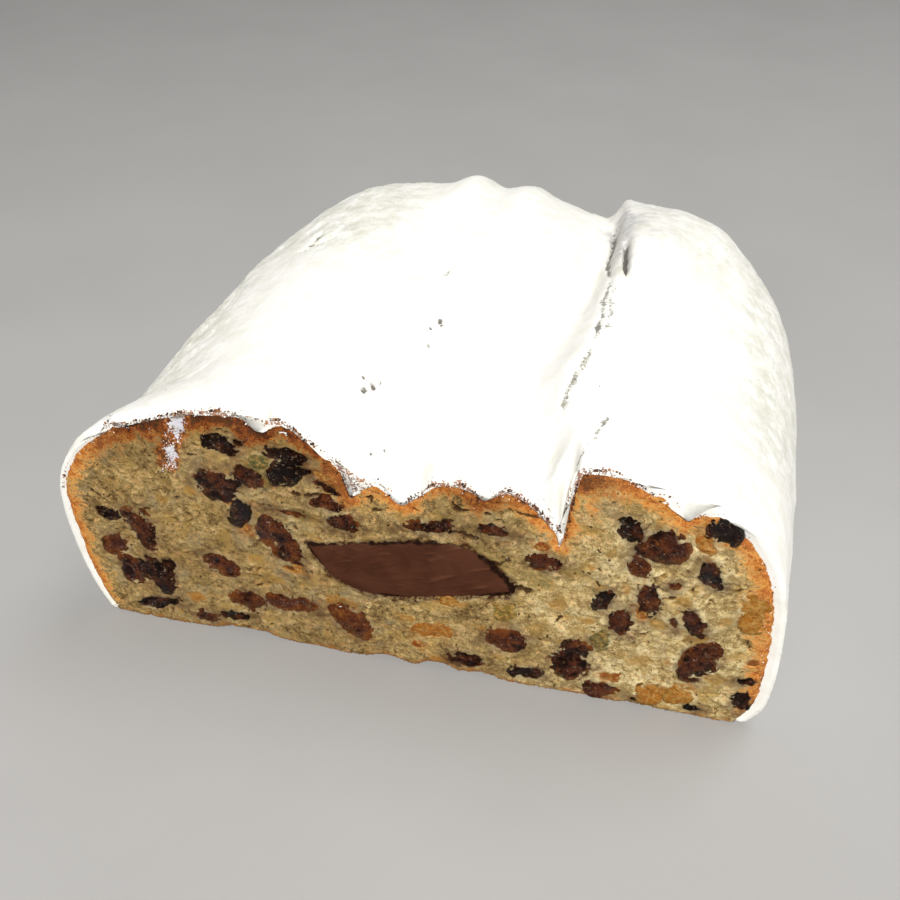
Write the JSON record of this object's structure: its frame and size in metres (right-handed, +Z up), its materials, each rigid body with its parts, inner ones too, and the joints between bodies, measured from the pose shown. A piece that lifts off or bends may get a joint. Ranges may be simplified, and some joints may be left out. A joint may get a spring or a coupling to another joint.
{
  "type": "half stollen loaf",
  "caption": "Half of a stollen fruit loaf with a nougat core, raisins and candied peel in the cut and a thick coat of icing sugar, resting on its flat base.",
  "frame": {"origin": "bottom centre of the part's box, on the surface the loaf rests on", "axes": "+Z up; the cut face looks along -Y and the loaf runs back along +Y to its rounded end; +X to the right when looking at the cut"},
  "size_m": [0.1389, 0.1334, 0.0599],
  "materials": {
    "dough": "open, crumbly crumb with a browned crust",
    "sugar": "dry powder, fully matt",
    "nougat": "dense, smooth cut with a faint waxy sheen",
    "raisin": "sticky, wrinkled, glossy",
    "peel": "translucent, syrupy"
  },
  "bodies": {
    "root": {"dough": "dough", "nougat_core": "nougat", "icing_sugar": "sugar", "raisin_01": "raisin", "raisin_02": "raisin", "raisin_03": "raisin", "raisin_04": "raisin", "raisin_05": "raisin", "raisin_06": "raisin", "raisin_07": "raisin", "raisin_08": "raisin", "raisin_09": "raisin", "raisin_10": "raisin", "raisin_11": "raisin", "raisin_12": "raisin", "raisin_13": "raisin", "raisin_14": "raisin", "raisin_15": "raisin", "raisin_16": "raisin", "raisin_17": "raisin", "raisin_18": "raisin", "raisin_19": "raisin", "raisin_20": "raisin", "raisin_21": "raisin", "raisin_22": "raisin", "raisin_23": "raisin", "raisin_24": "raisin", "raisin_25": "raisin", "raisin_26": "raisin", "raisin_27": "raisin", "raisin_28": "raisin", "raisin_29": "raisin", "raisin_30": "raisin", "raisin_31": "raisin", "raisin_32": "raisin", "raisin_33": "raisin", "raisin_34": "raisin", "raisin_35": "raisin", "raisin_36": "raisin", "raisin_37": "raisin", "raisin_38": "raisin", "raisin_39": "raisin", "peel_01": "peel", "peel_02": "peel", "peel_03": "peel", "peel_04": "peel", "peel_05": "peel", "peel_06": "peel"}
  },
  "joints": []
}
